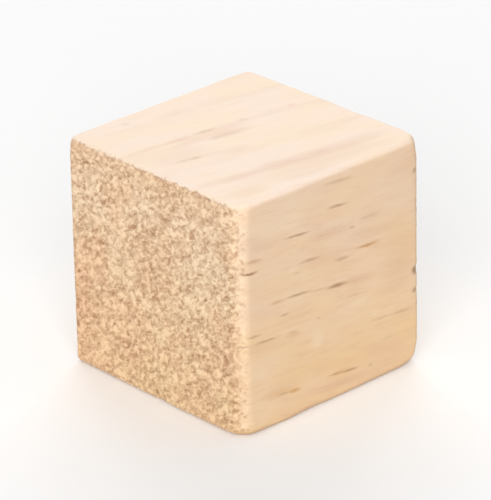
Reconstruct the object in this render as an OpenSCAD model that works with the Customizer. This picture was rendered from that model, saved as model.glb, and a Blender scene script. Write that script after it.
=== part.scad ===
// Solid wooden cube, sawn from one piece of pine and sanded smooth on its long-grain faces.
// It stands on its bottom face, with the origin at the middle of that face.
// X runs along the grain, so the two faces across X show the end grain.
// Front is -Y, back is +Y, left is -X and right is +X.

/* [Block] */
// Length of every side
side = 25; // [15:0.5:60]

/* [Level edges] */
// Radius of the eight edges round the top and bottom faces, which are barely sanded
level_edge_r = 0.5; // [0.2:0.1:0.6]

/* [Upright edges] */
// Radius of the upright edge at the front left, the most rounded one
front_left_edge_r = 1.4; // [0.8:0.1:3]
// Radius of the upright edge at the front right, where the saw left
front_right_edge_r = 0.9; // [0.8:0.1:3]
// Radius of the upright edge at the back right
back_right_edge_r = 0.9; // [0.8:0.1:3]
// Radius of the upright edge at the back left
back_left_edge_r = 0.8; // [0.8:0.1:3]

/* [Tear-outs] */
// Places up the front right edge where fibres tore out behind the saw, as shares of the side
tear_places = [0.33, 0.42, 0.86]; // [0.2:0.01:0.9]
// Width of each tear-out across the grain
tear_widths = [0.7, 1.3, 1.1]; // [0.5:0.1:2]
// Depth of each tear-out below the rounded edge
tear_depths = [0.15, 0.3, 0.25]; // [0.1:0.05:0.6]
// Distance that a tear-out runs back along the grain
tear_run = 2.2; // [1:0.1:4]

/* [Hidden] */

$fn = 96;
half = side / 2;
// Radii of the upright edges, anticlockwise from the back right as seen from above
upright_edge_r = [back_right_edge_r, back_left_edge_r, front_left_edge_r, front_right_edge_r];
// Height of the flat part of each face, between the level edges
flat_height = side - 2 * level_edge_r;
// How far the tear-outs' rounded edge falls short of the sharp one, measured square to either face
edge_setback = front_right_edge_r * (1 - cos(45));
// Length of the gouge that cuts a tear-out, which overshoots the block at both ends
gouge_length = 4 * tear_run;

// A strip from inner to outer, as tall as the block, with its two outer corners rounded
module rounded_strip(inner, outer) {
    round_centre = outer - level_edge_r;
    translate([inner, -half])
        square([round_centre - inner, side]);
    translate([inner, -flat_height / 2])
        square([outer - inner, flat_height]);
    for (up = [-flat_height / 2, flat_height / 2])
        translate([round_centre, up])
            circle(r = level_edge_r);
}

// Half a corner rod's section. The strip's inner end is the rod's own axis.
module rod_section(rod_r) {
    intersection() {
        rounded_strip(0, rod_r);
        translate([0, -half])
            square([rod_r, side]);
    }
}

// The four sides, each drawn out level from the round of one upright edge to the next.
// They reach past the middle of the block, so that they fill it.
module sides() {
    for (k = [0 : 3]) {
        start = upright_edge_r[(k + 3) % 4] - half;
        end = half - upright_edge_r[k];
        rotate([0, 0, 90 * k])
            translate([0, end, 0])
                rotate([90, 0, 0])
                    linear_extrude(height = end - start)
                        rounded_strip(-half / 2, half);
    }
}

// The four upright rods, which round the corners of the plan and blend into the level edges
module corner_rods() {
    for (k = [0 : 3]) {
        rod_r = upright_edge_r[k];
        rotate([0, 0, 90 * k])
            translate([half - rod_r, half - rod_r, 0])
                rotate_extrude()
                    rod_section(rod_r);
    }
}

// The cut left by a torn fibre bundle: deepest at the end face, and running out along the grain
module tear_out(place, width, depth) {
    gouge_r = width / 2;
    bite = edge_setback + depth;
    translate([half, bite - half - gouge_r, place * side])
        rotate([0, 0, atan2(bite, tear_run)])
            rotate([0, 90, 0])
                cylinder(r = gouge_r, h = gouge_length, center = true);
}

module wooden_cube() {
    color("wheat")
        difference() {
            translate([0, 0, half]) {
                sides();
                corner_rods();
            }
            for (i = [0 : len(tear_places) - 1])
                tear_out(tear_places[i], tear_widths[i], tear_depths[i]);
        }
}

wooden_cube();
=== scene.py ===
"""Finished looks of a small cube of bare pine: its rounded block, its wood, and a plain studio.

The block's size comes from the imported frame. X runs along the grain, so the faces across X show
end grain. Lengths are in millimetres until a mesh, a lamp or a camera is made, which are in metres.
"""

import logging
import math
from dataclasses import dataclass, field
from enum import Enum
from typing import Any

import bpy
import numpy as np
from mathutils import Matrix, Vector

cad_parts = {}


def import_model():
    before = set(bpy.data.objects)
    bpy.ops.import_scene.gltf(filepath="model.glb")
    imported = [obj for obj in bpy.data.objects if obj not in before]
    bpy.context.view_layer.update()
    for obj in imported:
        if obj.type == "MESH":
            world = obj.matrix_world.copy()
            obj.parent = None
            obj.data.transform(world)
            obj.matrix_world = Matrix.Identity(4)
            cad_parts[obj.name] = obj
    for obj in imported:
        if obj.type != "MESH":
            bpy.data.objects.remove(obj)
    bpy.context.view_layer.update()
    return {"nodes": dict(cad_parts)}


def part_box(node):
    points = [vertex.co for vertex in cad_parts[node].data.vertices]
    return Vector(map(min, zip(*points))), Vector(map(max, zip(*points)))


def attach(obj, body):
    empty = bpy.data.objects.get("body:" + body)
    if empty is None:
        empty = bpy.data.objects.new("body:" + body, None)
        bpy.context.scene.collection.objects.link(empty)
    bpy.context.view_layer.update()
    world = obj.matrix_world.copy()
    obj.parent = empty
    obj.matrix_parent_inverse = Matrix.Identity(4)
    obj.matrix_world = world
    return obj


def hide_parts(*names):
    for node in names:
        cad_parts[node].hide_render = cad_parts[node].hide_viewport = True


log = logging.getLogger("pine_cube")

MM = 0.001
NODE = "wooden_cube"
BODY = "root"

Array = np.ndarray
Colour = tuple[float, float, float]


def linear(red: float, green: float, blue: float) -> Colour:
    """Turns a display colour into the linear light that a shader works in.

    Each channel c becomes ((c + 0.055) / 1.055) to the power 2.4, as the sRGB curve says.

    Args:
        red, green, blue: The colour as shown on a display, from 0 to 255.

    Returns:
        The three linear channels, from 0 to 1.
    """
    return tuple(((c / 255 + 0.055) / 1.055) ** 2.4 for c in (red, green, blue))


def smooth_step(low: float, high: float, value: Array) -> Array:
    """Goes from 0 at low to 1 at high along 3t^2 - 2t^3, where t is the share of the way."""
    t = np.clip((value - low) / (high - low), 0.0, 1.0)
    return t * t * (3.0 - 2.0 * t)


class LatticeNoise:
    """Smooth random values in space, from 0 to 1, that are the same on each run.

    Whoever reads it adds a number to the places, which keeps one use apart from the others.
    """

    def __init__(self, seed: int, size: int = 48) -> None:
        """Fills a cubic lattice with seeded random values.

        Args:
            seed: Chooses the values.
            size: Lattice points along each side, after which the values repeat.
        """
        self.size = size
        self.values = np.random.default_rng(seed).random((size, size, size))

    def at(self, points: Array) -> Array:
        """Reads the noise at points.

        The value is the sum over the eight lattice corners round a point of the corner's value
        times three weights, one along each axis, which follow 3t^2 - 2t^3 of the distance t from
        the cell's low side to the point, or 1 minus that for the low corners.

        Args:
            points: Places in lattice steps, one row each.

        Returns:
            One value for each point.
        """
        base = np.floor(points).astype(int)
        t = points - base
        ease = t * t * (3.0 - 2.0 * t)
        total = np.zeros(len(points))
        for corner in np.ndindex(2, 2, 2):
            weight = np.prod(np.where(corner, ease, 1.0 - ease), axis=1)
            i, j, k = ((base + corner) % self.size).T
            total += weight * self.values[i, j, k]
        return total

    def layered(self, points: Array, layers: int = 3, fade: float = 0.5) -> Array:
        """Adds layers of noise and scales the sum to 0 to 1.

        Args:
            points: Places in steps of the coarsest layer, one row each.
            layers: How many layers, each twice as fine as the one before.
            fade: How strong each layer is, as a share of the one before.

        Returns:
            One value for each point.
        """
        strengths = fade ** np.arange(layers)
        parts = [s * self.at(points * 2.0**n + 7.3 * n) for n, s in enumerate(strengths)]
        return np.sum(parts, axis=0) / strengths.sum()


@dataclass(frozen=True)
class TearOut:
    """Fibres torn out of the upright edge behind the saw. Places and sizes are in millimetres."""

    up: float
    width: float
    depth: float


@dataclass(frozen=True)
class UprightEdge:
    """An upright edge: its radius at the bottom and at the top of the cube, in millimetres."""

    bottom: float
    top: float


@dataclass(frozen=True)
class WornCorner:
    """A corner worn rounder than its edges.

    It adds extra to their radii, fading out over the distance reach, both in millimetres. The three
    signs say which corner it is.
    """

    corner: tuple[int, int, int]
    extra: float
    reach: float = 3.0


@dataclass
class SandedBlock:
    """The cube's surface: a block with rounded edges, rough end grain and a few tear-outs."""

    side: float
    front_left: UprightEdge = UprightEdge(bottom=1.5, top=1.4)
    front_right: UprightEdge = UprightEdge(bottom=0.7, top=1.25)
    back_left: UprightEdge = UprightEdge(bottom=0.7, top=0.7)
    back_right: UprightEdge = UprightEdge(bottom=0.9, top=0.9)
    top_radius: float = 0.45
    bottom_radius: float = 0.75
    level_drift: float = 0.25
    drift_size: float = 3.0
    level_limit: float = 0.95
    worn_corners: tuple[WornCorner, ...] = (
        WornCorner(corner=(-1, -1, 1), extra=0.40, reach=3.5),
        WornCorner(corner=(-1, 1, 1), extra=0.30, reach=2.2),
        WornCorner(corner=(1, -1, 1), extra=0.50, reach=2.8),
        WornCorner(corner=(1, -1, -1), extra=0.85),
        WornCorner(corner=(-1, -1, -1), extra=0.50, reach=3.5),
        WornCorner(corner=(1, 1, -1), extra=0.40),
    )
    edge_zone: float = 2.0
    edge_crowding: float = 1.4
    edge_steps: int = 14
    along_steps: int = 40
    across_steps: int = 130
    end_roughness: float = 0.10
    end_grain_size: float = 0.54
    end_grain_lean: float = 32.0
    end_grain_stretch: float = 1.6
    end_grain_wander: float = 0.9
    end_grain_fade: tuple[float, float] = (0.60, 0.97)
    border_size: float = 0.7
    pit_contrast: float = 1.6
    pit_floor: float = 0.3
    edge_roughness: float = 0.4
    side_roughness: float = 0.012
    face_unevenness: float = 0.03
    fibre_size: tuple[float, float, float] = (9.0, 0.45, 0.45)
    wave_size: float = 6.0
    tear_outs: tuple[TearOut, ...] = (
        TearOut(up=8.25, width=0.75, depth=0.22),
        TearOut(up=10.5, width=1.5, depth=0.38),
        TearOut(up=21.5, width=0.9, depth=0.32),
    )
    tear_run: float = 1.4
    tear_raggedness: float = 0.3
    tear_rag_size: float = 0.4
    torn_depth: float = 0.3
    noise: LatticeNoise = field(default_factory=lambda: LatticeNoise(seed=11))

    @property
    def half(self) -> float:
        """Half of the side."""
        return self.side / 2

    def stations(self, steps: int) -> Array:
        """Places the grid lines along one axis.

        The middle has even steps. In the zone next to each end, line k of n lies at the zone's
        width times (k / n) to the power of the crowding from the end, so that the lines crowd
        towards it.

        Args:
            steps: Steps between the two edge zones.

        Returns:
            Coordinates from minus half to plus half of the side.
        """
        inner = self.half - self.edge_zone
        middle = np.linspace(-inner, inner, steps + 1)
        share = np.arange(self.edge_steps) / self.edge_steps
        outer = self.half - self.edge_zone * share**self.edge_crowding
        return np.concatenate([-outer, middle, outer[::-1]])

    def shell(self) -> tuple[Array, Array]:
        """Makes the grid that covers a sharp cube, with shared points along its edges.

        Returns:
            The points, one row each, and the four point numbers of each quad, facing outwards.
        """
        along = self.stations(self.along_steps)
        across = self.stations(self.across_steps)
        axes = (along, across, across)
        counts = tuple(len(a) for a in axes)
        on_surface = np.zeros(counts, dtype=bool)
        for axis in range(3):
            for end in (0, -1):
                on_surface[(slice(None),) * axis + (end,)] = True
        number = np.full(counts, -1)
        number[on_surface] = np.arange(on_surface.sum())
        spots = np.argwhere(on_surface)
        points = np.stack([axes[n][spots[:, n]] for n in range(3)], axis=1)
        quads = []
        for axis in range(3):
            for end, turn in ((0, 1), (-1, -1)):
                sheet = number[(slice(None),) * axis + (end,)]
                ring = [sheet[:-1, :-1], sheet[:-1, 1:], sheet[1:, 1:], sheet[1:, :-1]]
                turn_here = -turn if axis == 1 else turn
                quads.append(np.stack([c.ravel() for c in ring[::turn_here]], axis=1))
        return points, np.concatenate(quads)

    def upright_radius(self, sharp: Array) -> Array:
        """Radius of the upright edge nearest to each point.

        It is bottom + (top - bottom) * share, where share goes evenly from 0 to 1 up the edge.

        Args:
            sharp: Points on the sharp cube.

        Returns:
            One radius for each point, in millimetres.
        """
        x, y, z = sharp.T
        share = z / self.side + 0.5
        edges = (self.front_left, self.front_right, self.back_left, self.back_right)
        radii = [edge.bottom + (edge.top - edge.bottom) * share for edge in edges]
        return np.choose((x > 0) + 2 * (y > 0), radii)

    def worn(self, sharp: Array) -> Array:
        """What the worn corners add to the radii.

        Each adds its extra at the corner, which falls along a smooth step to 0 at its reach.

        Args:
            sharp: Points on the sharp cube.

        Returns:
            The sum for each point, in millimetres.
        """
        total = np.zeros(len(sharp))
        for worn in self.worn_corners:
            away = np.linalg.norm(sharp - self.half * np.array(worn.corner), axis=1)
            total += worn.extra * (1.0 - smooth_step(0.0, worn.reach, away))
        return total

    def rounding(self, sharp: Array) -> tuple[Array, Array]:
        """Rounds the sharp cube's edges and corners.

        In plan, a point within the upright radius R of a corner is written as the corner's round
        centre c, a direction n and a distance s, where s is the larger of its two offsets from c
        and n points along the offsets. Then s and the height z are rounded together by the level
        radius r: with the inner point (min(s, R - r), clipped z), the new point lies r from it in
        the same direction. On a corner this makes part of a ring, as when a sanded edge is
        followed round. r drifts along the edge, and is at most level_limit times R.

        Args:
            sharp: Points on the sharp cube.

        Returns:
            The rounded points, and the outward direction at each.
        """
        extra = self.worn(sharp)
        upright = self.upright_radius(sharp) + extra
        drift = 1.0 + self.level_drift * (2.0 * self.noise.at(sharp / self.drift_size) - 1.0)
        level = np.where(sharp[:, 2] > 0, self.top_radius, self.bottom_radius)
        level = np.minimum(level * drift + extra, self.level_limit * upright)
        plan, z = sharp[:, :2], sharp[:, 2]
        flat = (self.half - upright)[:, None]
        centre = np.clip(plan, -flat, flat)
        offset = plan - centre
        length = np.linalg.norm(offset, axis=1, keepdims=True)
        heading = offset / np.maximum(length, 1e-9)
        reach = np.abs(offset).max(axis=1)
        inner_reach = np.minimum(reach, upright - level)
        inner_z = np.clip(z, level - self.half, self.half - level)
        turn = np.stack([reach - inner_reach, z - inner_z], axis=1)
        turn /= np.maximum(np.linalg.norm(turn, axis=1, keepdims=True), 1e-9)
        new_reach = inner_reach + level * turn[:, 0]
        new_z = inner_z + level * turn[:, 1]
        points = np.column_stack([centre + heading * new_reach[:, None], new_z])
        return points, np.column_stack([heading * turn[:, :1], turn[:, 1]])

    def end_grain(self, sharp: Array) -> Array:
        """How much of the rough end grain shows: 1 on the end faces, fading out over the rounding.

        It fades with the outward direction's part along X, read at a place that noise moves up to
        half the wander up or sideways, so that its border is ragged.

        Args:
            sharp: Points on the sharp cube.

        Returns:
            The share for each point, from 0 to 1.
        """
        places = sharp / self.border_size
        aside = self.noise.layered(places + 31.0, layers=2, fade=0.8) - 0.5
        up = self.noise.layered(places + 57.0, layers=2, fade=0.8) - 0.5
        moved = sharp + self.end_grain_wander * np.column_stack([np.zeros(len(sharp)), aside, up])
        _, outward = self.rounding(moved)
        return smooth_step(*self.end_grain_fade, np.abs(outward[:, 0]))

    def pits(self, points: Array) -> Array:
        """Depth of the hollows between the torn fibre ends, from 0 to 1.

        It is pit_contrast times a layered noise, less pit_floor, and cut off at 0 and 1. The noise
        is read at places that are drawn out along a direction which leans from Y towards Z, as the
        saw left the fibre ends bent over.

        Args:
            points: Points on the rounded cube.

        Returns:
            The depth at each point.
        """
        lean = math.radians(self.end_grain_lean)
        x, y, z = points.T
        along = z * math.sin(lean) - y * math.cos(lean)
        across = z * math.cos(lean) + y * math.sin(lean)
        places = np.column_stack([x, along / self.end_grain_stretch, across]) / self.end_grain_size
        noise = self.noise.layered(places, layers=2, fade=0.7)
        return np.clip(self.pit_contrast * noise - self.pit_floor, 0.0, 1.0)

    def tear(self, points: Array) -> Array:
        """Pushes points out of the gouges that the saw left on the front right edge.

        Each gouge is a round bar that lies nearly along the grain, outside the front face but for
        its end. With the bar's middle m and radius g, a point p nearer to m than g moves to
        m + g * (p - m) / |p - m|, measured square to X.

        Args:
            points: The surface's points, which are changed in place.

        Returns:
            The same points, moved.
        """
        radius = (self.front_right.bottom + self.front_right.top) / 2
        setback = radius * (1.0 - math.cos(math.pi / 4))
        x = points[:, 0]
        for tear in self.tear_outs:
            bite = setback + tear.depth
            ragged = self.tear_raggedness * (self.noise.at(points / self.tear_rag_size) - 0.5)
            bar = tear.width / 2 * (1.0 + ragged)
            middle_y = -self.half - bar + bite * (1.0 - (self.half - x) / self.tear_run)
            middle = np.column_stack([middle_y, np.full(len(x), tear.up - self.half)])
            away = points[:, 1:] - middle
            distance = np.maximum(np.linalg.norm(away, axis=1), 1e-9)
            pushed = middle + away * (bar / distance)[:, None]
            inside = (distance < bar) & (x > 0)
            points[:, 1:] = np.where(inside[:, None], pushed, points[:, 1:])
        return points

    def relief(self, points: Array, end_grain: Array, pits: Array, end_edge: Array) -> Array:
        """Depth of the surface below the ideal block.

        It is the sum of broad waves over every face, fine fibres where there is no end grain, and
        the hollows of the end grain, which also show a little on the rounding beside it. No part
        of it is negative, so the surface stays inside the block.

        Args:
            points: Points on the rounded cube.
            end_grain: The share of end grain at each.
            pits: The depth of the hollows there, from 0 to 1.
            end_edge: How much each lies on the rounding beside an end face.

        Returns:
            The depth at each point, in millimetres.
        """
        fibres = self.noise.layered(points / np.array(self.fibre_size) + 13.0, layers=2)
        waves = self.noise.at(points / self.wave_size + 5.0)
        smooth = self.side_roughness * fibres * (1.0 - end_grain)
        torn = np.maximum(end_grain, self.edge_roughness * end_edge)
        return self.face_unevenness * waves + smooth + self.end_roughness * pits * torn

    def surface(self) -> tuple[Array, Array, dict[str, Array]]:
        """Works out the finished surface.

        Returns:
            Points in millimetres round the cube's middle, the quads, and the named values at each
            point that the material reads: the share of end grain, the depth of the hollows, how
            much the point lies on the rounding beside an end face, which is 4 n^2 (1 - n^2) for an
            outward direction with the part n along X, and how far it lies inside a tear-out.
        """
        sharp, quads = self.shell()
        points, outward = self.rounding(sharp)
        turned = outward[:, 0] ** 2
        values = {
            "end_grain": self.end_grain(sharp),
            "pits": self.pits(points),
            "end_edge": 4.0 * turned * (1.0 - turned),
        }
        whole = points - outward * self.relief(points, **values)[:, None]
        torn = self.tear(whole.copy())
        values["torn"] = smooth_step(0.0, self.torn_depth, np.linalg.norm(torn - whole, axis=1))
        return torn, quads, values

    def build(self, centre: Vector) -> bpy.types.Object:
        """Makes the block's mesh object.

        Args:
            centre: The middle of the cube, in metres.

        Returns:
            The object, at the origin, with its place in its mesh.
        """
        points, quads, values = self.surface()
        mesh = bpy.data.meshes.new("sanded_block")
        mesh.from_pydata((points * MM + np.array(centre)).tolist(), [], quads.tolist())
        for name, value in values.items():
            layer = mesh.attributes.new(name, "FLOAT", "POINT")
            layer.data.foreach_set("value", value.astype(np.float32))
        mesh.polygons.foreach_set("use_smooth", np.ones(len(quads), dtype=bool))
        mesh.update()
        block = bpy.data.objects.new("sanded_block", mesh)
        bpy.context.scene.collection.objects.link(block)
        return block

    def dress(self, block: bpy.types.Object, wood: "PineWood") -> None:
        """Gives the block its wood."""
        block.data.materials.append(PineShading(wood, self.side).material())


class Wire:
    """A node's output socket that can be used in sums, which add Math or Vector Math nodes."""

    def __init__(self, graph: "Graph", socket: bpy.types.NodeSocket) -> None:
        """Wraps one output socket of a graph."""
        self.graph = graph
        self.socket = socket

    def beside(self, output: int | str) -> "Wire":
        """Another output of the same node."""
        return Wire(self.graph, self.socket.node.outputs[output])

    def parts(self) -> tuple["Wire", "Wire", "Wire"]:
        """The three coordinates of a vector."""
        first = self.graph.add("ShaderNodeSeparateXYZ", {}, {0: self})
        return first, first.beside(1), first.beside(2)

    def length(self) -> "Wire":
        """The length of a vector."""
        settings = {"operation": "LENGTH"}
        return self.graph.add("ShaderNodeVectorMath", settings, {0: self}, output="Value")

    def _combine(self, operation: str, left: Any, right: Any) -> "Wire":
        """Adds one Math node, or a Vector Math node if this wire is a vector or a colour.

        Args:
            operation: What the node works out.
            left, right: Its two values, as numbers, tuples or wires.

        Returns:
            The result.
        """
        vector = self.socket.type in {"VECTOR", "RGBA"}
        kind = "ShaderNodeVectorMath" if vector else "ShaderNodeMath"
        return self.graph.add(kind, {"operation": operation}, {0: left, 1: right})

    def __add__(self, other: Any) -> "Wire":
        """Sum of two values."""
        return self._combine("ADD", self, other)

    def __sub__(self, other: Any) -> "Wire":
        """Difference of two values."""
        return self._combine("SUBTRACT", self, other)

    def __rsub__(self, other: Any) -> "Wire":
        """Difference of a number and this value."""
        return self._combine("SUBTRACT", other, self)

    def __mul__(self, other: Any) -> "Wire":
        """Product of two values."""
        return self._combine("MULTIPLY", self, other)

    def __truediv__(self, other: Any) -> "Wire":
        """Quotient of two values."""
        return self._combine("DIVIDE", self, other)

    __radd__ = __add__
    __rmul__ = __mul__


@dataclass(frozen=True)
class Pattern:
    """A noise: its waves for each millimetre along X and across it, and how it is layered.

    Each layer is twice as fine as the one before and has the share rough of its strength. The noise
    bends itself by warp, and shift keeps it apart from the others that are read at the same place.
    Where it makes patches, they begin at the first value of patch and are full at the second.
    """

    along: float
    across: float
    detail: float = 2.0
    rough: float = 0.5
    warp: float = 0.0
    shift: float = 0.0
    patch: tuple[float, float] = (0.0, 1.0)


class Graph:
    """The node tree of one material or of the world, written as sums of wires."""

    def __init__(self, owner: bpy.types.Material | bpy.types.World) -> None:
        """Empties the owner's node tree.

        Args:
            owner: The material or the world that the tree belongs to.
        """
        owner.use_nodes = True
        self.owner = owner
        self.tree = owner.node_tree
        self.tree.nodes.clear()

    def add(
        self, kind: str, settings: dict[str, Any], inputs: dict[Any, Any], output: int | str = 0
    ) -> Wire:
        """Adds a node.

        Args:
            kind: The node's type.
            settings: Values of the node's own properties, set first.
            inputs: Sockets by name or number, each with a number, a tuple or a wire.
            output: Name or number of the output that is returned.

        Returns:
            The chosen output.
        """
        node = self.tree.nodes.new(kind)
        for name, value in settings.items():
            setattr(node, name, value)
        for key, value in inputs.items():
            if isinstance(value, Wire):
                self.tree.links.new(value.socket, node.inputs[key])
            elif isinstance(value, tuple) and node.inputs[key].type == "RGBA":
                node.inputs[key].default_value = (*value, 1.0)
            else:
                node.inputs[key].default_value = value
        return Wire(self, node.outputs[output])

    def join(self, x: Any, y: Any, z: Any = 0.0) -> Wire:
        """A vector with three coordinates."""
        return self.add("ShaderNodeCombineXYZ", {}, {0: x, 1: y, 2: z})

    def attribute(self, name: str) -> Wire:
        """A value that the mesh carries at its points."""
        return self.add("ShaderNodeAttribute", {"attribute_name": name}, {}, output="Fac")

    def ramp(
        self, value: Wire, low: float, high: float, start: float = 0.0, end: float = 1.0
    ) -> Wire:
        """Goes smoothly from start at low to end at high."""
        inputs = {"Value": value, "From Min": low, "From Max": high, "To Min": start, "To Max": end}
        return self.add("ShaderNodeMapRange", {"interpolation_type": "SMOOTHSTEP"}, inputs)

    def waves(self, place: Wire, pattern: Pattern) -> Wire:
        """A place in millimetres, shifted and counted in the waves of a pattern."""
        moved = place + (pattern.shift, pattern.shift, pattern.shift)
        return moved * (pattern.along, pattern.across, pattern.across)

    def noise(self, place: Wire, pattern: Pattern) -> Wire:
        """Noise from 0 to 1.

        Args:
            place: Where it is read, in millimetres.
            pattern: Its waves and layers.

        Returns:
            The value.
        """
        inputs = {"Vector": self.waves(place, pattern), "Scale": 1.0}
        layers = {"Detail": pattern.detail, "Roughness": pattern.rough, "Distortion": pattern.warp}
        return self.add("ShaderNodeTexNoise", {}, {**inputs, **layers})

    def patches(self, place: Wire, pattern: Pattern) -> Wire:
        """Soft-edged patches, from 0 to 1, where a pattern's noise is high."""
        return self.ramp(self.noise(place, pattern), *pattern.patch)

    def blend(self, factor: Any, first: Any, second: Any) -> Wire:
        """Mixes two colours by a factor."""
        settings = {"data_type": "RGBA", "clamp_factor": True}
        return self.add("ShaderNodeMix", settings, {0: factor, 6: first, 7: second}, output=2)

    def seen_directly(self) -> Wire:
        """Tells rays that are seen from rays that only carry light.

        Returns:
            1 for rays from the camera, mirrors and glass, and 0 for the others.
        """
        camera = self.add("ShaderNodeLightPath", {}, {}, output="Is Camera Ray")
        rays = camera + camera.beside("Is Glossy Ray") + camera.beside("Is Transmission Ray")
        return self.add("ShaderNodeMath", {"operation": "MINIMUM"}, {0: rays, 1: 1.0})

    def finish(self, shader: Wire) -> None:
        """Joins a shader to the output.

        Args:
            shader: The finished surface or background.
        """
        kind = "World" if isinstance(self.owner, bpy.types.World) else "Material"
        output = self.tree.nodes.new(f"ShaderNodeOutput{kind}")
        self.tree.links.new(shader.socket, output.inputs["Surface"])


class Tone(Enum):
    """What a mark along the grain is."""

    CANAL = "cut resin canal"
    STREAK = "late wood"
    RESIN = "resin-stained wood"
    PALE = "pale fibres"


@dataclass(frozen=True)
class GrainMark:
    """A mark along the grain, in millimetres from the face's left and near edges."""

    along: float
    across: float
    length: float
    width: float
    strength: float


FRONT_MARKS: dict[Tone, tuple[GrainMark, ...]] = {
    Tone.CANAL: (
        GrainMark(13.3, 23.8, 5.5, 0.6, 0.25),
        GrainMark(13.2, 21.2, 3.6, 0.5, 0.55),
        GrainMark(7.7, 19.8, 4.6, 0.4, 0.65),
        GrainMark(1.8, 19.0, 3.0, 0.6, 0.25),
        GrainMark(17.6, 18.7, 4.0, 0.6, 0.20),
        GrainMark(15.2, 18.2, 1.1, 0.5, 0.35),
        GrainMark(1.2, 17.8, 3.2, 0.5, 0.90),
        GrainMark(9.4, 16.6, 4.2, 0.5, 0.42),
        GrainMark(7.6, 15.8, 1.6, 0.4, 0.20),
        GrainMark(17.3, 15.6, 3.4, 0.4, 0.35),
        GrainMark(13.8, 15.3, 3.0, 0.6, 0.35),
        GrainMark(4.8, 13.6, 3.0, 0.4, 0.20),
        GrainMark(7.8, 13.4, 4.6, 0.5, 0.57),
        GrainMark(10.5, 13.0, 3.5, 0.4, 0.20),
        GrainMark(13.1, 12.6, 3.8, 0.6, 0.72),
        GrainMark(5.9, 11.9, 1.9, 0.4, 0.35),
        GrainMark(1.8, 10.9, 2.8, 0.5, 0.40),
        GrainMark(15.6, 10.7, 5.0, 0.4, 0.15),
        GrainMark(0.5, 10.1, 2.0, 0.4, 0.55),
        GrainMark(3.4, 9.9, 4.2, 0.4, 0.45),
        GrainMark(10.5, 9.9, 0.8, 0.5, 0.20),
        GrainMark(7.0, 9.6, 2.4, 0.4, 0.20),
        GrainMark(19.2, 6.9, 4.0, 0.5, 0.20),
        GrainMark(22.2, 6.6, 3.8, 0.5, 0.20),
        GrainMark(20.3, 4.3, 3.2, 0.4, 0.15),
        GrainMark(5.7, 3.3, 2.4, 0.4, 0.30),
        GrainMark(12.9, 2.9, 3.0, 0.4, 0.40),
        GrainMark(14.9, 2.6, 3.2, 0.5, 0.55),
        GrainMark(17.8, 2.1, 0.9, 0.5, 0.25),
    ),
    Tone.STREAK: (
        GrainMark(3.0, 20.0, 8.0, 1.2, 0.25),
        GrainMark(1.9, 18.9, 3.6, 0.9, 0.60),
        GrainMark(12.5, 18.6, 9.0, 1.9, 0.45),
        GrainMark(17.5, 16.9, 11.5, 2.1, 0.30),
        GrainMark(12.0, 16.0, 10.5, 2.8, 0.32),
        GrainMark(15.5, 12.3, 10.5, 1.2, 0.42),
        GrainMark(21.5, 10.5, 6.5, 5.5, 0.20),
        GrainMark(20.0, 3.0, 11.0, 5.5, 0.18),
        GrainMark(4.0, 9.2, 10.5, 2.3, 0.18),
        GrainMark(22.5, 6.6, 6.0, 1.1, 0.30),
        GrainMark(14.0, 1.6, 18.0, 1.6, 0.32),
    ),
    Tone.RESIN: (
        GrainMark(14.6, 16.0, 3.0, 0.4, 0.20),
        GrainMark(17.3, 15.6, 5.2, 0.7, 0.60),
        GrainMark(5.0, 13.5, 2.6, 0.8, 0.30),
        GrainMark(7.2, 9.3, 3.0, 0.8, 0.30),
        GrainMark(5.0, 3.6, 7.0, 1.6, 0.30),
        GrainMark(7.2, 3.1, 2.6, 0.6, 0.75),
        GrainMark(13.8, 2.8, 5.0, 1.0, 0.30),
        GrainMark(22.5, 14.0, 11.0, 11.0, 0.14),
        GrainMark(23.0, 22.5, 8.0, 6.0, 0.12),
    ),
    Tone.PALE: (
        GrainMark(11.0, 22.9, 1.3, 0.8, 0.40),
        GrainMark(15.0, 22.7, 1.2, 0.9, 0.35),
        GrainMark(5.0, 22.0, 15.0, 5.0, 0.35),
        GrainMark(12.6, 21.7, 3.4, 0.4, 0.25),
        GrainMark(9.6, 17.0, 3.1, 0.4, 0.30),
        GrainMark(7.0, 16.3, 2.1, 0.6, 0.40),
        GrainMark(13.3, 13.1, 3.4, 0.4, 0.35),
        GrainMark(5.9, 12.3, 1.6, 0.4, 0.40),
        GrainMark(16.2, 9.8, 5.2, 1.3, 0.30),
        GrainMark(18.2, 7.8, 2.1, 1.0, 0.30),
        GrainMark(10.3, 7.6, 2.9, 3.2, 0.50),
        GrainMark(3.5, 6.6, 8.0, 4.0, 0.25),
        GrainMark(3.0, 3.0, 9.0, 6.5, 0.30),
    ),
}

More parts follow.
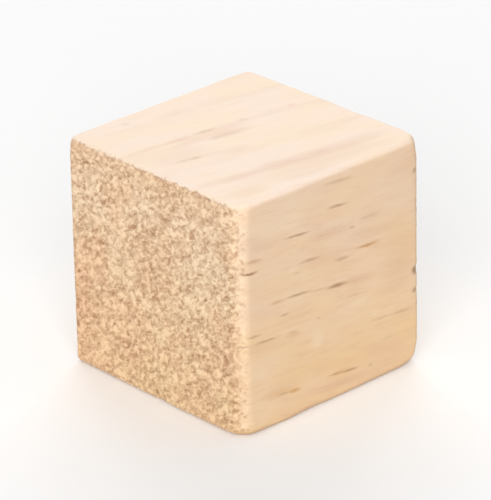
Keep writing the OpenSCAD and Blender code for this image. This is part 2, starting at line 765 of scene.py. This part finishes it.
TOP_MARKS: dict[Tone, tuple[GrainMark, ...]] = {
    Tone.CANAL: (
        GrainMark(6.2, 23.1, 1.6, 1.2, 0.10),
        GrainMark(10.6, 16.2, 3.9, 0.9, 0.20),
        GrainMark(15.3, 15.6, 1.8, 1.0, 0.15),
        GrainMark(10.2, 14.3, 2.0, 0.8, 0.10),
        GrainMark(11.8, 14.0, 5.4, 1.0, 0.10),
        GrainMark(4.1, 12.3, 2.3, 0.8, 0.15),
        GrainMark(5.5, 12.0, 2.0, 1.0, 0.20),
    ),
    Tone.STREAK: (
        GrainMark(11.4, 21.7, 6.5, 2.0, 0.20),
        GrainMark(16.5, 21.3, 11.5, 3.0, 0.10),
        GrainMark(4.0, 16.8, 11.5, 1.4, 0.20),
        GrainMark(7.5, 16.4, 5.2, 1.4, 0.40),
        GrainMark(12.5, 15.7, 9.0, 1.8, 0.25),
        GrainMark(7.2, 15.2, 6.0, 2.0, 0.20),
        GrainMark(19.0, 15.0, 10.5, 1.7, 0.15),
        GrainMark(12.0, 14.0, 8.0, 1.8, 0.20),
        GrainMark(7.0, 11.6, 4.0, 1.5, 0.15),
        GrainMark(9.4, 10.9, 5.2, 2.2, 0.20),
        GrainMark(2.6, 6.3, 6.5, 2.0, 0.20),
        GrainMark(5.6, 5.6, 6.5, 2.4, 0.40),
        GrainMark(9.8, 5.2, 7.5, 3.0, 0.42),
        GrainMark(13.4, 4.5, 8.0, 3.2, 0.38),
        GrainMark(16.8, 4.1, 7.5, 3.0, 0.34),
        GrainMark(20.6, 3.8, 8.0, 3.0, 0.26),
        GrainMark(10.5, 1.5, 9.0, 1.7, 0.20),
    ),
    Tone.RESIN: (
        GrainMark(10.6, 16.1, 4.5, 0.9, 0.15),
        GrainMark(11.0, 15.0, 12.0, 2.4, 0.15),
        GrainMark(21.4, 14.9, 1.6, 0.9, 0.20),
        GrainMark(4.5, 13.5, 11.0, 6.0, 0.14),
        GrainMark(12.0, 14.1, 6.5, 1.6, 0.14),
        GrainMark(5.2, 12.1, 3.4, 1.0, 0.10),
        GrainMark(13.0, 2.8, 22.0, 4.4, 0.16),
        GrainMark(3.5, 2.5, 7.0, 3.0, 0.14),
    ),
}


@dataclass(frozen=True)
class PinePatterns:
    """The noises that pine's colour and relief are made from."""

    sway: Pattern = Pattern(along=0.05, across=0.1, detail=1.0)
    fibres: Pattern = Pattern(along=0.10, across=3.2, detail=3.0, rough=0.6, patch=(0.45, 0.80))
    bands: Pattern = Pattern(along=0.035, across=0.55, patch=(0.45, 0.75))
    tint: Pattern = Pattern(along=0.12, across=0.3, detail=1.0, shift=9.1, patch=(0.35, 0.65))
    mottle: Pattern = Pattern(along=0.16, across=0.8, detail=1.0, shift=5.3, patch=(0.50, 0.70))
    broken: Pattern = Pattern(along=0.12, across=0.5, patch=(0.35, 0.75))
    ragged: Pattern = Pattern(along=1.2, across=3.0)
    canals: Pattern = Pattern(along=0.10, across=0.72, shift=3.7)
    flecks: Pattern = Pattern(along=0.9, across=2.4, rough=0.6, patch=(0.50, 0.68))
    clouds: Pattern = Pattern(along=0.2, across=0.2, patch=(0.42, 0.62))
    speck: Pattern = Pattern(along=2.6, across=2.6, detail=0.6, rough=0.7, warp=0.7)
    grit: Pattern = Pattern(along=1.5, across=1.5, detail=1.0, warp=0.4)


@dataclass(frozen=True)
class PineStrengths:
    """How strongly each pattern of pine shows, as a share of the colour that it brings.

    Those that end in shade darken the hollows of the end grain. Those that end in relief are
    heights in millimetres.
    """

    # painted warm bounce light: how much warmer the faces along the grain get towards the bottom
    painted_bounce_below: float = 0.8
    warm_bands: float = 0.2
    pale_mottle: float = 0.16
    dark_mottle: float = 0.12
    fibres: float = 0.26
    # fibres on the top, faded under its painted sheen
    sheen_faded_fibres: float = 0.11
    streaks: float = 0.8
    rings: float = 0.14
    hidden_rings: float = 0.34
    hidden_canals: float = 0.8
    # paler rounding beside the end faces towards +X: rubbed wear, and painted light that lifts the
    # rounding's shade
    rubbed_and_painted_light: float = 0.4
    light_flecks: float = 0.6
    dark_flecks: float = 0.5
    # painted shade: how far the tear-outs darken to the canal colour, as shadow in their hollows
    torn: float = 0.7
    stain_clouds: float = 0.4
    # painted warm bounce light: how much pinker the end grain gets low down towards +Y
    pink_bounce_below: float = 0.7
    stain_above: float = 0.3
    end_shade: float = 0.33
    pit_shade: float = 0.34
    speck_shade: float = 1.7
    grit_shade: float = 0.35
    cloud_shade: float = 0.1
    fibre_relief: float = 0.012
    canal_relief: float = -0.03
    end_relief: float = -0.12


@dataclass(frozen=True)
class PineWood:
    """Bare pine: its colours, the run of its grain in millimetres and degrees, and its finish.

    What belongs to the front or the top is whole down to the first of its two depths below that
    face, and gone at the second. bounce_up_to and stain_from are heights above the cube's middle, as
    shares of half of the side.
    """

    pale: Colour = linear(239, 212, 186)
    # warm wood of the bands, and also the painted warm bounce light towards the bottom
    warm: Colour = linear(243, 209, 166)
    # painted sheen: the paler, less saturated colour of the top, standing in for light glancing off
    # it
    painted_top_sheen: Colour = linear(253, 231, 212)
    cream_tint: Colour = (1.0, 0.99, 0.93)
    # also used as painted shade in the tear-outs
    canal: Colour = linear(158, 116, 78)
    streak: Colour = linear(221, 178, 146)
    resin: Colour = linear(214, 160, 98)
    light: Colour = linear(248, 226, 198)
    end_pale: Colour = linear(255, 231, 199)
    # painted warm bounce light on the end grain, towards the bottom
    end_bounce_warm: Colour = linear(255, 225, 180)
    end_pink: Colour = linear(255, 213, 174)
    end_dark: Colour = linear(170, 122, 86)
    ring_width: float = 5.6
    ring_phase: float = 0.673
    pith_y: float = -71.0
    pith_z: float = 6.0
    slope_y: float = -0.12
    slope_z: float = -0.08
    sway_y: float = 1.6
    sway_z: float = 0.9
    front_depth: tuple[float, float] = (0.5, 1.4)
    top_depth: tuple[float, float] = (0.05, 0.6)
    # height where the painted warm bounce light, which warms the colour downwards, fades out
    bounce_up_to: float = 0.8
    stain_from: float = 0.4
    dark_fleck: tuple[float, float] = (0.54, 0.70)
    late_wood_rise: tuple[float, float] = (0.45, 0.95)
    mark_core: float = 0.1
    mark_raggedness: float = 0.25
    canal_reach: tuple[float, float] = (0.04, 0.17)
    least_canal: float = 0.35
    faintest_canal: float = 0.25
    end_lean: float = 32.0
    end_stretch: float = 1.6
    roughness: float = 0.62
    end_roughness: float = 0.2
    fibre_roughness: float = 0.08
    gloss_index: float = 1.45
    relief_shown: float = 0.8
    patterns: PinePatterns = PinePatterns()
    strengths: PineStrengths = PineStrengths()


class PineShading:
    """The material of one cube of pine, cut through as a solid and put together wire by wire."""

    def __init__(self, wood: PineWood, side: float) -> None:
        """Starts the material with what its patterns share.

        Args:
            wood: The colours and the run of the grain.
            side: The cube's side, in millimetres.
        """
        self.wood = wood
        self.patterns = wood.patterns
        self.strengths = wood.strengths
        self.half = side / 2
        self.graph = Graph(bpy.data.materials.new("bare_pine"))
        coordinates = self.graph.add("ShaderNodeTexCoord", {}, {}, output="Object")
        self.place = coordinates * (1 / MM, 1 / MM, 1 / MM) - (0.0, 0.0, self.half)
        self.x, self.y, self.z = self.place.parts()
        self.grain = self.along_grain()
        whole, gone = (depth - self.half for depth in wood.front_depth)
        self.on_front = 1.0 - self.graph.ramp(self.y, whole, gone)
        whole, gone = (self.half - depth for depth in wood.top_depth)
        self.on_top = self.graph.ramp(self.z, gone, whole)
        self.elsewhere = (1.0 - self.on_front) * (1.0 - self.on_top)
        # painted warm bounce light: 1 at the bottom and fading out upwards, as light bounced up
        # from below
        self.low = 1.0 - self.graph.ramp(self.z, -self.half, self.half * wood.bounce_up_to)
        self.fibres = self.graph.noise(self.grain, self.patterns.fibres)
        hidden = self.hidden_canals() * self.elsewhere * self.strengths.hidden_canals
        self.canals = self.marks(Tone.CANAL) + hidden
        self.end = self.graph.attribute("end_grain")

    def along_grain(self) -> Wire:
        """Follows the sloping, wavy fibres.

        Returns:
            The place, with Y and Z as they are where its fibre crosses the cube's middle.
        """
        wood = self.wood
        sway = self.graph.noise(self.place, self.patterns.sway) - 0.5
        across = self.y - self.x * wood.slope_y + sway * wood.sway_y
        return self.graph.join(self.x, across, self.z - self.x * wood.slope_z + sway * wood.sway_z)

    def leaning(self) -> Wire:
        """Follows the torn fibre ends, which all lean one way.

        Returns:
            The place, turned about X and shortened along the direction that they lean in.
        """
        lean = math.radians(self.wood.end_lean)
        along = (self.z * math.sin(lean) - self.y * math.cos(lean)) / self.wood.end_stretch
        return self.graph.join(self.x, along, self.z * math.cos(lean) + self.y * math.sin(lean))

    def rings(self) -> Wire:
        """The yearly rings, which are a pattern of the distance from the pith.

        Returns:
            Late wood from 0 to 1: it comes slowly through each ring and ends at once.
        """
        _, across, up = self.grain.parts()
        from_pith = self.graph.join(0.0, across - self.wood.pith_y, up - self.wood.pith_z).length()
        ring = from_pith / self.wood.ring_width + self.wood.ring_phase
        share = self.graph.add("ShaderNodeMath", {"operation": "FRACT"}, {0: ring})
        start, full = self.wood.late_wood_rise
        return self.graph.ramp(share, start, full) * (1.0 - self.graph.ramp(share, full, 1.0))

    def marks(self, tone: Tone) -> Wire:
        """All marks of one tone, on the front and on the top.

        Args:
            tone: What the marks are.

        Returns:
            Their strength, from 0 to 1.
        """
        front = self.marks_on(self.z, self.wood.slope_z, FRONT_MARKS.get(tone, ()))
        top = self.marks_on(self.y, self.wood.slope_y, TOP_MARKS.get(tone, ()))
        return front * self.on_front + top * self.on_top

    def marks_on(self, across_face: Wire, slope: float, marks: tuple[GrainMark, ...]) -> Wire:
        """The strength of the marks on one face.

        Each mark is an ellipse along the sloping grain: with u and v the distances from its middle
        in half lengths and half widths, its strength fades smoothly as sqrt(u * u + v * v) goes
        from mark_core to 1. Noise makes its outline ragged.

        Args:
            across_face: The coordinate across the grain on that face.
            slope: How far the grain rises along that coordinate for each step along X.
            marks: The marks.

        Returns:
            Their summed strength.
        """
        ragged = self.graph.noise(self.place, self.patterns.ragged) - 0.5
        level = across_face - self.x * slope + ragged * self.wood.mark_raggedness
        flat = self.graph.join(self.x, level)
        core = self.wood.mark_core
        total: Any = 0.0
        for mark in marks:
            along = mark.along - self.half
            across = mark.across - self.half - along * slope
            scales = (2 / mark.length, 2 / mark.width, 0.0)
            shift = (-along * scales[0], -across * scales[1], 0.0)
            inputs = {0: flat, 1: scales, 2: shift}
            scaled = self.graph.add("ShaderNodeVectorMath", {"operation": "MULTIPLY_ADD"}, inputs)
            away = scaled.length()
            total = self.graph.ramp(away, core, 1.0, start=mark.strength, end=0.0) + total
        return total

    def hidden_canals(self) -> Wire:
        """Resin canals of many sizes: the middles of thin cells along the grain, cut by a face.

        A canal is whole up to the first of canal_reach from its cell's middle and gone at the
        second, both times a random size of least_canal or more.

        Returns:
            Their strength, from 0 to 1.
        """
        wood = self.wood
        cells = self.graph.waves(self.grain, self.patterns.canals)
        inputs = {"Vector": cells, "Scale": 1.0}
        gap = self.graph.add("ShaderNodeTexVoronoi", {"feature": "F1"}, inputs, output="Distance")
        size = self.graph.add("ShaderNodeSeparateColor", {}, {0: gap.beside("Color")})
        strength = wood.faintest_canal + size.beside(1) * (1.0 - wood.faintest_canal)
        away = self.graph.ramp(gap / (wood.least_canal + size), *wood.canal_reach)
        return (1.0 - away) * strength

    def side_colour(self) -> Wire:
        """Colour of the faces along the grain.

        Returns:
            The colour, which is paler on the top, where a sheen of light glancing off it is painted
            in.
        """
        graph, wood, share, pattern = self.graph, self.wood, self.strengths, self.patterns
        bands = graph.patches(self.grain, pattern.bands)
        # painted warm bounce light makes it warmer towards the bottom, besides the real warm bands
        # of the grain
        warmth = self.low * share.painted_bounce_below + bands * share.warm_bands
        colour = graph.blend(warmth, wood.pale, wood.warm)
        # painted sheen: the top takes a paler colour that stands in for light glancing off it
        colour = graph.blend(self.on_top, colour, wood.painted_top_sheen)
        tint = graph.patches(self.grain, pattern.tint)
        colour = graph.blend(tint, colour, colour * wood.cream_tint)
        mottle = graph.noise(self.grain, pattern.mottle)
        # the mottle does not show under the top's painted sheen
        outside_top_sheen = 1.0 - self.on_top
        pale = graph.ramp(mottle, *pattern.mottle.patch) * outside_top_sheen * share.pale_mottle
        colour = graph.blend(self.marks(Tone.PALE) + pale, colour, wood.light)
        dark = graph.ramp(1.0 - mottle, *pattern.mottle.patch) * outside_top_sheen * share.dark_mottle
        dark = dark + self.late_wood() + self.marks(Tone.STREAK) * share.streaks
        colour = graph.blend(dark, colour, wood.streak)
        colour = graph.blend(self.marks(Tone.RESIN), colour, wood.resin)
        return graph.blend(self.canals, colour, wood.canal)

    def late_wood(self) -> Wire:
        """Adds the fine fibres to the broken yearly rings.

        Returns:
            How much they darken the faces along the grain, from 0 to 1.
        """
        graph, share, pattern = self.graph, self.strengths, self.patterns
        seen = share.fibres + self.on_top * (share.sheen_faded_fibres - share.fibres)
        fine = graph.ramp(self.fibres, *pattern.fibres.patch) * seen
        broken = graph.patches(self.grain, pattern.broken)
        shown = share.rings + self.elsewhere * (share.hidden_rings - share.rings)
        return fine + self.rings() * broken * shown

    def flecked(self, colour: Wire) -> Wire:
        """Adds the flecks of the rounding beside an end face, its rubbed wear with painted light
        towards +X, and painted shade in the torn places.

        Args:
            colour: The wood along the grain.

        Returns:
            The colour with them.
        """
        graph, wood, share, pattern = self.graph, self.wood, self.strengths, self.patterns
        edge = graph.attribute("end_edge")
        # rubbed wear and painted light: the rounding pales towards +X, lifting its shade
        rubbed_and_painted_light = graph.ramp(self.x, 0.0, self.half) * edge * share.rubbed_and_painted_light
        colour = graph.blend(rubbed_and_painted_light, colour, wood.end_pale)
        flecks = graph.noise(self.place, pattern.flecks)
        light = graph.ramp(flecks, *pattern.flecks.patch) * edge * share.light_flecks
        dark = graph.ramp(1.0 - flecks, *wood.dark_fleck) * edge * share.dark_flecks
        colour = graph.blend(light, colour, wood.end_pale)
        colour = graph.blend(dark, colour, wood.end_dark)
        # painted shade: the tear-outs darken towards the canal colour, as shadow in their hollows
        return graph.blend(graph.attribute("torn") * share.torn, colour, wood.canal)

    def end_colour(self, speck: Wire, grit: Wire) -> Wire:
        """Colour of the rough end grain, warmer and pinker low down, where warm bounce light is
        painted in.

        Args:
            speck: The noise of single torn fibre ends.
            grit: A coarser noise, of bunches of them.

        Returns:
            The colour, which is darker in the hollows.
        """
        graph, wood, share, pattern = self.graph, self.wood, self.strengths, self.patterns
        clouds = graph.noise(self.place, pattern.clouds)
        # real stain clouds, painted warm bounce light low down towards +Y, and a pinker top
        stain_and_bounce = graph.ramp(clouds, *pattern.clouds.patch) * share.stain_clouds
        stain_and_bounce = stain_and_bounce + self.low * graph.ramp(self.y, 0.0, self.half) * share.pink_bounce_below
        above = graph.ramp(self.z, self.half * wood.stain_from, self.half)
        stain_and_bounce = stain_and_bounce + above * share.stain_above
        # painted warm bounce light: the end grain warms towards the bottom
        colour = graph.blend(self.low, wood.end_pale, wood.end_bounce_warm)
        colour = graph.blend(stain_and_bounce, colour, wood.end_pink)
        hollow = share.end_shade + (graph.attribute("pits") - 0.5) * share.pit_shade
        hollow = hollow + (speck - 0.5) * share.speck_shade + (grit - 0.5) * share.grit_shade
        return graph.blend(hollow + (clouds - 0.5) * share.cloud_shade, colour, wood.end_dark)

    def material(self) -> bpy.types.Material:
        """Joins colour, roughness and bump.

        Returns:
            A material that follows the grain through the whole cube.
        """
        graph, wood, share = self.graph, self.wood, self.strengths
        leaning = self.leaning()
        speck = graph.noise(leaning, self.patterns.speck)
        grit = graph.noise(leaning, self.patterns.grit)
        sides, ends = self.flecked(self.side_colour()), self.end_colour(speck, grit)
        along = self.fibres * share.fibre_relief + self.canals * share.canal_relief
        height = along * (1.0 - self.end) + (speck + grit) * self.end * share.end_relief
        inputs = {"Height": height * MM, "Distance": 1.0, "Strength": wood.relief_shown}
        bump = graph.add("ShaderNodeBump", {}, inputs, output="Normal")
        rough = wood.roughness + self.end * wood.end_roughness + self.fibres * wood.fibre_roughness
        colour = graph.blend(self.end, sides, ends)
        surface = {"Base Color": colour, "Roughness": rough, "IOR": wood.gloss_index}
        graph.finish(graph.add("ShaderNodeBsdfPrincipled", {}, {**surface, "Normal": bump}))
        return graph.owner


def direction(azimuth: float, elevation: float) -> Vector:
    """The way from the cube to a place round it.

    Args:
        azimuth: The angle round the cube in degrees, 0 at the -Y side and 90 at the +X side.
        elevation: The angle above the floor, in degrees.

    Returns:
        A unit vector.
    """
    a, e = math.radians(azimuth), math.radians(elevation)
    return Vector((math.sin(a) * math.cos(e), -math.cos(a) * math.cos(e), math.sin(e)))


@dataclass(frozen=True)
class Softbox:
    """A square area lamp, placed by its direction from the cube, in millimetres and degrees."""

    name: str
    azimuth: float
    elevation: float
    level: float
    distance: float = 1500.0
    size: float = 1260.0

    def build(self, centre: Vector) -> None:
        """Makes the lamp, turned to the cube.

        A square lamp of power P lights a face that looks at it from the distance d as a plain white
        sky of strength P / (pi * d) ** 2 would, so the power is the level times (pi * d) ** 2.

        Args:
            centre: The middle of the cube, in metres.
        """
        away = direction(self.azimuth, self.elevation)
        lamp = bpy.data.lights.new(self.name, "AREA")
        lamp.shape = "SQUARE"
        lamp.size = self.size * MM
        lamp.energy = self.level * (math.pi * self.distance * MM) ** 2
        holder = bpy.data.objects.new(self.name, lamp)
        holder.location = centre + away * (self.distance * MM)
        holder.rotation_euler = away.to_track_quat("Z", "Y").to_euler()
        bpy.context.scene.collection.objects.link(holder)


@dataclass(frozen=True)
class Studio:
    """A plain white floor, soft lamps and the camera, in millimetres and degrees."""

    floor_size: float = 6000.0
    floor_shown: Colour = (0.98, 0.98, 0.98)
    floor_glow: float = 0.06
    floor_bounce: Colour = (0.62, 0.55, 0.47)
    sky_level: float = 0.392
    view_azimuth: float = -43.1
    view_elevation: float = 25.2
    view_roll: float = -0.85
    view_distance: float = 350.0
    cube_share: float = 0.496
    lamps: tuple[Softbox, ...] = (
        Softbox("key", azimuth=-48, elevation=22, level=0.84),
        Softbox("overhead", azimuth=20, elevation=80, level=0.12),
        Softbox("behind", azimuth=138, elevation=28, level=0.50),
    )

    def floor(self) -> None:
        """Makes the floor, which looks white to the camera and throws less light back up."""
        graph = Graph(bpy.data.materials.new("white_floor"))
        shown = graph.add("ShaderNodeBsdfDiffuse", {}, {"Color": self.floor_shown})
        bounce = graph.add("ShaderNodeBsdfDiffuse", {}, {"Color": self.floor_bounce})
        white = {"Color": (1.0, 1.0, 1.0), "Strength": self.floor_glow}
        glow = graph.add("ShaderNodeEmission", {}, white)
        lit = graph.add("ShaderNodeAddShader", {}, {0: shown, 1: glow})
        inputs = {0: graph.seen_directly(), 1: bounce, 2: lit}
        graph.finish(graph.add("ShaderNodeMixShader", {}, inputs))
        edge = self.floor_size / 2 * MM
        corners = [(-edge, -edge, 0.0), (edge, -edge, 0.0), (edge, edge, 0.0), (-edge, edge, 0.0)]
        mesh = bpy.data.meshes.new("floor")
        mesh.from_pydata(corners, [], [(0, 1, 2, 3)])
        mesh.materials.append(graph.owner)
        plane = bpy.data.objects.new("floor", mesh)
        bpy.context.scene.collection.objects.link(plane)

    def sky(self) -> None:
        """Lights the scene evenly, and shows as plain white behind it."""
        world = bpy.data.worlds.new("white_room")
        graph = Graph(world)
        strength = self.sky_level + graph.seen_directly() * (1.0 - self.sky_level)
        inputs = {"Color": (1.0, 1.0, 1.0), "Strength": strength}
        graph.finish(graph.add("ShaderNodeBackground", {}, inputs))
        bpy.context.scene.world = world

    def camera(self, centre: Vector, side: float) -> None:
        """Places the camera.

        The lens is long enough for one side, seen square on at the cube's middle, to fill
        cube_share of the frame's height, which is the longer way of a frame of 491 by 500.

        Args:
            centre: The middle of the cube, in metres.
            side: The cube's side, in millimetres.
        """
        back = direction(self.view_azimuth, self.view_elevation)
        right = Vector((0, 0, 1)).cross(back).normalized()
        up = back.cross(right)
        roll = math.radians(self.view_roll)
        turned_right = right * math.cos(roll) + up * math.sin(roll)
        turned_up = up * math.cos(roll) - right * math.sin(roll)
        data = bpy.data.cameras.new("camera")
        data.lens = self.cube_share * data.sensor_width * self.view_distance / side
        data.clip_start = self.view_distance * MM / 10
        data.clip_end = self.floor_size * MM
        holder = bpy.data.objects.new("camera", data)
        axes = Matrix((turned_right, turned_up, back)).transposed()
        away = Matrix.Translation(centre + back * (self.view_distance * MM))
        holder.matrix_world = away @ axes.to_4x4()
        bpy.context.scene.collection.objects.link(holder)
        bpy.context.scene.camera = holder

    def build(self, centre: Vector, side: float) -> None:
        """Makes the floor, the sky, the lamps and the camera.

        Args:
            centre: The middle of the cube, in metres.
            side: The cube's side, in millimetres.
        """
        self.floor()
        self.sky()
        for lamp in self.lamps:
            lamp.build(centre)
        self.camera(centre, side)
        bpy.context.scene.view_settings.view_transform = "Standard"


def main() -> None:
    """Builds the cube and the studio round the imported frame."""
    logging.basicConfig(level=logging.INFO)
    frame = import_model()
    log.info("frame: %s", ", ".join(frame["nodes"]))

    low, high = (Vector(corner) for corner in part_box(NODE))
    centre = (low + high) / 2
    side = (high.z - low.z) / MM

    studio = Studio()
    studio.build(centre, side)
    log.info("studio: floor, sky, %d lamps and camera", len(studio.lamps))

    cube = SandedBlock(side=side)
    block = cube.build(centre)
    cube.dress(block, PineWood())
    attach(block, BODY)
    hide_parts(NODE)
    log.info("%s: %d points", block.name, len(block.data.vertices))


if __name__ == "__main__":
    main()
